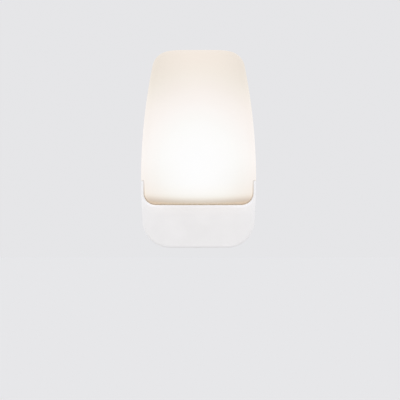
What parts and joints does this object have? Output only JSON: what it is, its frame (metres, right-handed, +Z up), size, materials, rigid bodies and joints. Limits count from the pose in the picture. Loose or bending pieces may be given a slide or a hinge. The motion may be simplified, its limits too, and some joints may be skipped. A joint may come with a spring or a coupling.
{
  "type": "plug-in night light",
  "caption": "Plug-in LED night light with a tall rounded opal shade standing out of a low white base, flat two-blade plug on the back and a dusk sensor window underneath",
  "frame": {"origin": "centre of the flat back face, midway between the two blades, in the plane that rests against the outlet", "axes": "+X to the right of a person facing the light, +Y into the wall along the blades, +Z up"},
  "size_m": [0.0724, 0.053, 0.1231],
  "materials": {
    "white_shell": "warm white moulded ABS, fine satin",
    "opal_shade": "opal diffusing plastic, smooth, lit from inside",
    "blade_metal": "nickel plated brass, stamped",
    "inner_plastic": "natural heat-proof moulding",
    "screw_steel": "zinc plated steel",
    "insulator": "thin amber-white insulating sheet",
    "circuit_board": "green solder resist",
    "yellow_case": "yellow moulded case",
    "can_sleeve": "dark shrink sleeve on an aluminium can",
    "black_moulding": "black epoxy moulding",
    "blue_epoxy": "dipped blue epoxy",
    "resistor_body": "tan lacquered ceramic",
    "clear_lens": "clear acrylic window, lightly frosted",
    "black_rubber": "black silicone",
    "cell_ceramic": "coated ceramic disc",
    "white_lead": "white PVC insulation",
    "black_lead": "black PVC insulation",
    "red_lead": "red PVC insulation",
    "lamp_board_white": "white solder resist",
    "lamp_chip": "warm white light chip, phosphor face",
    "reflector_white": "bright white moulding"
  },
  "bodies": {
    "root": {"rear_housing": "white_shell", "front_cover": "white_shell", "shade": "opal_shade", "blade_neutral": "blade_metal", "blade_hot": "blade_metal", "blade_retainer": "inner_plastic", "retainer_screws": "screw_steel", "housing_screws": "screw_steel", "insulating_sheet": "insulator", "driver_board": "circuit_board", "board_screws": "screw_steel", "film_capacitor": "yellow_case", "smoothing_capacitor": "can_sleeve", "bridge_rectifier": "black_moulding", "varistor": "blue_epoxy", "fusible_resistor": "resistor_body", "driver_chip": "black_moulding", "chip_resistors": "black_moulding", "sensor_lens": "clear_lens", "sensor_shroud": "black_rubber", "light_cell": "cell_ceramic", "neutral_lead": "white_lead", "hot_lead": "black_lead", "lamp_lead_red": "red_lead", "lamp_lead_black": "black_lead", "lamp_board": "lamp_board_white", "lamp_board_screws": "screw_steel", "lamp_chips": "lamp_chip", "reflector": "reflector_white", "reflector_screws": "screw_steel"}
  },
  "joints": []
}
